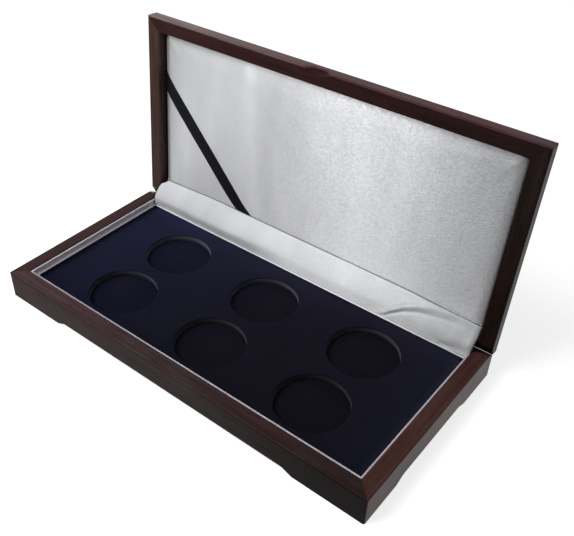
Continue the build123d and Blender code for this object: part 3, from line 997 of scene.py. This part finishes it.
def addRibbon():
    # a band along a line across the corner; past the pad's edges it turns down beside them
    start, end = np.array(ribbon["sideAt"]), np.array(ribbon["rearAt"])
    width, wrap = ribbon["width"], ribbon["wrap"]
    length = np.linalg.norm(end - start)
    way = (end - start) / length
    extra = width / 2 + wrap * ribbon["overrun"]
    lengthSteps, widthSteps = ribbon["grid"]
    along = np.linspace(-extra, length + extra, lengthSteps)
    u, v = np.meshgrid(along, np.linspace(-0.5, 0.5, widthSteps) * width, indexing="ij")
    x = start[0] + way[0] * u - way[1] * v
    y = start[1] + way[1] * u + way[0] * v
    rearEdge = padRear - rearBow(x)
    reach, shift = ribbon["bend"]
    x = x + shift * np.clip((y - rearEdge) / reach + 1, 0, 1) ** 2
    overLeft = np.clip(padLow - x, 0, None)
    overRear = np.clip(y - rearEdge, 0, None)
    height = heightOnPad(np.clip(x, padLow, padHigh), np.minimum(y, rearEdge)) + ribbon["lift"]
    height = np.maximum(height - np.minimum(overLeft + overRear, wrap), ribbon["leastHeight"])
    x = np.where(overLeft > 0, padLow - ribbon["besideLeft"], x)
    y = np.where(overRear > 0, rearEdge + ribbon["besideRear"], y)
    crown = ribbon["crown"] * (1 - (2 * v / width) ** 2) * (overLeft + overRear == 0)
    points = swingOpen(np.stack([x, y, padBase - height - crown], -1))
    piece = makeSheet(
        "ribbon_band", points, np.stack([u, v], -1), (0, -1, 0), ribbon["thickness"],
        ribbonWeave("navy ribbon"), "lid", "corner_ribbon",
    )


addRibbon()
print("ribbon made")

# satin strip over the hinges

strip = dict(
    halfLength=134.7,
    columns=420,
    rows=76,
    thickness=0.35,
    mouth=(59.6, 20.3),
    seam=(70.75, 31.62),
    # each profile is places back and up; the foot is the same all along, then the strip leans or bulges
    foot=((59.85, 9.4), (59.8, 12.6), (59.4, 13.55), (58.82, 13.78), (58.56, 14.25), (59, 14.66)),
    lean=(
        (59.14, 15.8), (59.5, 17.8), (59.98, 19.8), (60.9, 22.2), (62.6, 24.8), (65.1, 27.4), (68, 29.8),
        (70.5, 31.75), (71.2, 31.6), (72.1, 31.42), (73.5, 31.25),
    ),
    bulge=(
        (58.85, 15.7), (58.25, 17.9), (57.75, 20.3), (57.95, 22.7), (59.7, 25.3), (63, 28.1), (67, 30.7),
        (70.3, 32.2), (71.15, 31.95), (72.1, 31.6), (73.5, 31.35),
    ),
    bulgeFades=(-70, 0),
    bowShare=(0, 0, 0, 0, 0, 0.15, 0.55, 1, 1, 1, 1), bowBack=0.07,
    lapLeft=(0.8, (-134, -90)), lapRight=(1.7, (106, 124)),
    lapMoves=((7, (-0.25, 0.75)), (8, (-0.15, 0.65))),  # each a profile row and its moves back and up
    footWave=(0.1, 42, 26), footWaveShares=((0.3,), (0.8,), (1,), (0.8,)),
    # from here on, places up the strip are measured over the cloth from its foot
    free=((6.5, 9.5), (26, 30)),
    creaseAt=(
        (68.7, 6.5), (73.3, 8.3), (78.5, 12.9), (81, 14.7), (85.6, 18.1), (93.5, 21.9), (100.7, 24.3),
        (106.3, 25.3), (112, 26.3), (122, 27.6),
    ),
    creaseWidth=((68, 0.5), (75, 0.8), (86, 1.8), (94, 2.3), (102, 3.2), (112, 3)),
    creaseHeight=((68, 0), (71, 0.35), (76, 0.65), (85, 1.15), (100, 1.15), (110, 0.6), (120, 0)),
    creaseTop=1.2, creaseFall=2.2, creaseTrough=(0.45, 0.4, 0.7), creaseFrom=(6.2, 7.6),
    dimple=(0.8, (118.5, 3.6), (7.8, 1.3)),
    crumple=(0.25, 1.4, 47, 14), crumpleFrom=(104, 126),
    calm=0.35, calmTo=(-40, 60),
    waves=((0.15, 1.6, 43, 34), (0.05, 0.8, 44, 9)),  # each a height, a stretch, a seed and a pitch
    endRound=3.2, endDepth=1.9, endRun=((7.5, 12), (27, 30)),
    hem=(0.4, 1.4, 0.6),
    inset=1.3, insetWaist=(0.7, 24, 4), insetTop=(5, (25.5, 31)), insetFades=(-134.7, -112),
    # painted shade along the strip: darker towards the right
    lengthwise=(
        (-134, 1.04), (-100, 0.94), (-40, 0.79), (10, 0.88), (50, 0.88), (80, 0.78), (100, 0.68), (114, 0.56),
        (134, 0.52),
    ),
    # painted light up the strip: lighter low on it near its foot, a little darker at mid height
    upwards=((4, 1.25), (8, 1.3), (11, 1.2), (14, 1.03), (18, 0.95), (24, 0.98), (30, 1.02)),
    upwardsFrom=(-400, -200),
    # painted shade: a darker band across the lower wall, on the left part of the strip
    shade=((8, 0.97), (11, 0.86), (13, 0.83), (15, 0.86), (18, 0.97), (24, 1.03), (30, 1.03)),
    shadeFrom=(0, -30),
)


def between(x, stops):
    # straight runs between stops, each a place and a value
    return np.interp(x, [place for place, _ in stops], [value for _, value in stops])


def stripProfile(x):
    # a smooth curve at each place along the strip, from behind the tray up to the pad's rear edge
    over = 1 - smoothStep(x, *strip["bulgeFades"])
    lean, bulge = (np.array(strip[key])[:, None] for key in ("lean", "bulge"))
    rest = lean + (bulge - lean) * over[None, :, None]
    bowed = np.array(strip["bowShare"])[:, None] * rearBow(x)
    rest = rest + np.stack([strip["bowBack"] * bowed, bowed], -1)
    # the lip laps over the pad's edge at both ends
    (left, leftFades), (right, rightFades) = strip["lapLeft"], strip["lapRight"]
    lap = left * (1 - smoothStep(x, *leftFades)) + right * smoothStep(x, *rightFades)
    for row, (back, up) in strip["lapMoves"]:
        rest[row] += np.stack([back * lap, up * lap], -1)
    height, seed, pitch = strip["footWave"]
    shares = np.array(strip["footWaveShares"])
    rest[:len(shares), :, 0] += shares * (height * ripple(x, 0 * x, seed, pitch))
    foot = np.array(strip["foot"])[:, None] + 0 * x[None, :, None]
    return smoothCurve(np.concatenate([foot, rest]), strip["rows"])


def pulledCrease(x, run):
    # the crease at the right, from the tray's edge up to the seam: a flank rises from a trough to a ridge
    above = run - between(x, strip["creaseAt"])
    width = between(x, strip["creaseWidth"])
    top = strip["creaseTop"]
    depth, offset, troughWidth = strip["creaseTrough"]
    flank = smoothStep(above, -width, top) * bump(np.clip(above - top, 0, None), 0, strip["creaseFall"])
    crease = between(x, strip["creaseHeight"]) * (flank - depth * bump(above, -width - offset, troughWidth))
    return crease * smoothStep(run, *strip["creaseFrom"])


def waviness(x, run):
    # two sizes of wave, calmer at the left, and a crumple at the right
    calm = strip["calm"] + (1 - strip["calm"]) * smoothStep(x, *strip["calmTo"])
    waves, smallWaves, crumple = (
        height * ripple(x, run * stretch, seed, pitch)
        for height, stretch, seed, pitch in (*strip["waves"], strip["crumple"])
    )
    return calm * (waves + smallWaves) + crumple * smoothStep(x, *strip["crumpleFrom"])


def stripPoints():
    # the profiles, moved along their normals by the waves, crease, dimple, rolled ends and hem
    x = np.linspace(-strip["halfLength"], strip["halfLength"], strip["columns"])
    curve = stripProfile(x)
    run = runAlong(curve)
    tangent = np.gradient(curve, axis=0)
    tangent /= np.linalg.norm(tangent, axis=-1, keepdims=True)
    normal = np.stack([-tangent[..., 1], tangent[..., 0]], -1)
    along = x[None, :] + 0 * run
    free = window(run, *strip["free"])
    depth, dimpleAcross, dimpleUp = strip["dimple"]
    dimple = depth * bump(along, *dimpleAcross) * bump(run, *dimpleUp)
    lift = free * waviness(along, run) - dimple + pulledCrease(along, run)
    # the ends roll over like a pillow's, with a hem at the left
    fromEnd = np.clip((strip["halfLength"] - np.abs(along)) / strip["endRound"], 0, 1)
    roll = 1 - np.sqrt(np.clip(1 - (1 - fromEnd) ** 2, 0, 1))
    rolled = window(run, *strip["endRun"])
    hemHeight, hemIn, hemWidth = strip["hem"]
    hem = hemHeight * bump(along, hemIn - strip["halfLength"], hemWidth) * free
    curve = curve + normal * (lift - roll * strip["endDepth"] * rolled + hem)[..., None]
    # the left end stands a little off the rail, most at the seam
    (waist, *waistPlace), (most, topFrom) = strip["insetWaist"], strip["insetTop"]
    inset = strip["inset"] - waist * bump(run, *waistPlace) + most * smoothStep(run, *topFrom)
    along = along + inset * (1 - smoothStep(along, *strip["insetFades"]))
    return np.stack([along, curve[..., 0], curve[..., 1]], -1), run


stripGrid, stripRun = stripPoints()
# the smooth satin carries the strip's painted light and shade along it and up it
satinSmooth = satinCloth(
    "satin, smooth", 0.6, 0.12, fadeFrom=(-90, 90), lengthwise=strip["lengthwise"],
    upwards=((strip["upwards"], strip["upwardsFrom"]), (strip["shade"], strip["shadeFrom"])),
)
stripPiece = makeSheet(
    "satin_strip", stripGrid, np.stack([stripGrid[..., 0], stripRun], -1), (0, 0, 1), strip["thickness"],
    satinSmooth, None, "satin_hinge_strip",
)
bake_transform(stripPiece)
print("strip made")

# floor, lights and camera

table = dict(colour=0.60, roughness=0.9, gloss=0.0)
studio = dict(
    world=0.17, worldColour=(0.93, 0.96, 1),
    floorGlow=0.74, floorReach=4,
    lamps=(
        # each a name, a place, a target, a size, a power and a colour
        ("key", (-0.59, -1.06, 0.46), (0, 0, 0.06), (0.34, 0.3), 3.4, (1, 0.985, 0.97)),
        ("above", (-0.35, -0.55, 1.05), (0, 0.02, 0.05), (0.6, 0.6), 8.8, (0.98, 0.99, 1)),
        ("window", (0.85, 1.05, 0.42), (0, 0, 0.05), (0.9, 0.5), 3.2, (0.97, 0.98, 1)),
    ),
)


def seenRays(tree):
    # 1 for rays from the camera, a reflection or a transmission, and 0 for those that light things
    path = addNode(tree, "ShaderNodeLightPath")
    seen = maths(tree, "MAXIMUM", path.outputs["Is Camera Ray"], path.outputs["Is Glossy Ray"])
    return maths(tree, "MAXIMUM", seen, path.outputs["Is Transmission Ray"])


def addFloor():
    # a square table under the case, with a glow added for the rays that see it
    far = studio["floorReach"]
    mesh = bpy.data.meshes.new("floor")
    mesh.from_pydata([(-far, -far, 0), (far, -far, 0), (far, far, 0), (-far, far, 0)], [], [(0, 1, 2, 3)])
    material, tree = newMaterial("white table")
    dress(material, table, table["colour"])
    strength = maths(tree, "MULTIPLY", seenRays(tree), studio["floorGlow"])
    glow = addNode(tree, "ShaderNodeEmission", {"Strength": strength})
    matt = tree.nodes["Principled BSDF"]
    both = addNode(tree, "ShaderNodeAddShader", {0: matt.outputs[0], 1: glow.outputs[0]})
    fill(tree, tree.nodes["Material Output"], {"Surface": both.outputs[0]})
    mesh.materials.append(material)
    linkObject("floor", mesh)


def addWorld():
    # a dim sky for the light and a white one for the rays that see it
    world = bpy.data.worlds.new("studio")
    bpy.context.scene.world = world
    world.use_nodes = True
    tree = world.node_tree
    sky = fill(tree, tree.nodes["Background"], {"Color": studio["worldColour"], "Strength": studio["world"]})
    white = addNode(tree, "ShaderNodeBackground", {"Color": 1.0, "Strength": 1.0})
    pick = addNode(tree, "ShaderNodeMixShader", {0: seenRays(tree), 1: sky.outputs[0], 2: white.outputs[0]})
    fill(tree, tree.nodes["World Output"], {"Surface": pick.outputs[0]})


def addLamp(name, place, target, size, power, colour):
    # a flat lamp whose own -Z axis points from its place to the target
    data = bpy.data.lights.new(name, "AREA")
    data.shape = "RECTANGLE"
    data.size, data.size_y = size
    data.energy, data.color = power, colour
    lamp = linkObject(name, data)
    lamp.location = place
    lamp.rotation_euler = (Vector(target) - Vector(place)).to_track_quat("-Z", "Y").to_euler()


addFloor()
addWorld()
for lampSettings in studio["lamps"]:
    addLamp(*lampSettings)

view = dict(
    place=(249.56, -293.03, 354.22),
    azimuth=39.738,
    elevation=38.42,
    roll=0.073,
    lens=49.37,
    sensor=36,
    shift=(0.0741, 0.0105),
    clip=(0.01, 20),
)


def addCamera():
    # the camera looks back along the direction given by azimuth and elevation, then rolls about it
    data = bpy.data.cameras.new("camera")
    data.lens = view["lens"]
    data.sensor_width = view["sensor"]
    data.shift_x, data.shift_y = view["shift"]
    data.clip_start, data.clip_end = view["clip"]
    camera = linkObject("camera", data)
    azimuth, elevation = math.radians(view["azimuth"]), math.radians(view["elevation"])
    level = math.cos(elevation)
    back = Vector((math.sin(azimuth) * level, -math.cos(azimuth) * level, math.sin(elevation)))
    roll = Matrix.Rotation(math.radians(view["roll"]), 3, "Z")
    camera.matrix_world = ((-back).to_track_quat("-Z", "Y").to_matrix() @ roll).to_4x4()
    camera.location = Vector(view["place"]) * millimetre + Vector((0, caseShift, 0))
    bpy.context.scene.camera = camera


addCamera()
bpy.context.scene.view_settings.view_transform = "Standard"
print("stage, lamps and camera made")
